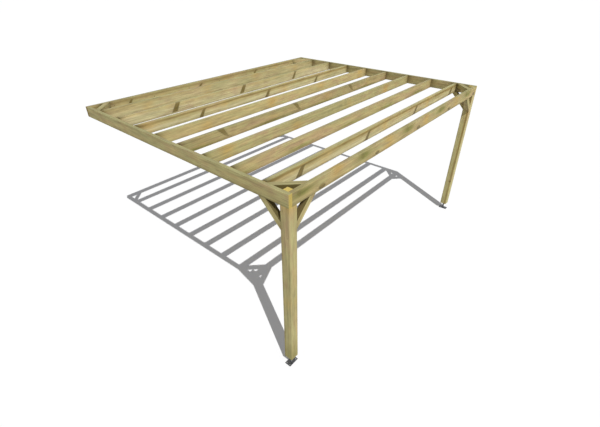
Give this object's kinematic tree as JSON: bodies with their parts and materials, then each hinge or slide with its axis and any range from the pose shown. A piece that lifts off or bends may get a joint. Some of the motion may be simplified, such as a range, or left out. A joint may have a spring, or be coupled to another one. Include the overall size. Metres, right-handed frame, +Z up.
{
  "type": "wall-mounted pergola",
  "caption": "Open timber pergola on a wall ledger and two front posts, with rafters parallel to the wall, diagonal corner braces and bolt-down post feet.",
  "frame": {"origin": "midway along and midway up the back face of the wall ledger", "axes": "+X along the wall to the right seen from the front, +Y into the wall, +Z up"},
  "size_m": [5.0175, 4.0775, 2.52],
  "materials": {
    "ledger_timber": "planed, green pressure-treated pine",
    "beam_timber": "planed, green pressure-treated pine",
    "rafter_timber": "planed, green pressure-treated pine",
    "post_timber": "planed, green pressure-treated pine",
    "brace_timber": "planed, green pressure-treated pine",
    "galvanised_steel": "hot-dip galvanised"
  },
  "bodies": {
    "root": {"wall_ledger": "ledger_timber", "left_side_beam": "beam_timber", "right_side_beam": "beam_timber", "front_beam": "beam_timber", "rafter_1": "rafter_timber", "rafter_2": "rafter_timber", "rafter_3": "rafter_timber", "rafter_4": "rafter_timber", "rafter_5": "rafter_timber", "rafter_6": "rafter_timber", "rafter_7": "rafter_timber", "rafter_8": "rafter_timber", "left_post": "post_timber", "right_post": "post_timber", "left_side_knee_brace": "brace_timber", "left_front_knee_brace": "brace_timber", "right_side_knee_brace": "brace_timber", "right_front_knee_brace": "brace_timber", "front_left_corner_brace": "brace_timber", "front_right_corner_brace": "brace_timber", "wall_left_corner_brace": "brace_timber", "wall_right_corner_brace": "brace_timber", "left_base_plate": "galvanised_steel", "right_base_plate": "galvanised_steel", "left_stem": "galvanised_steel", "right_stem": "galvanised_steel", "left_levelling_nut": "galvanised_steel", "right_levelling_nut": "galvanised_steel", "left_top_plate": "galvanised_steel", "right_top_plate": "galvanised_steel"}
  },
  "joints": []
}
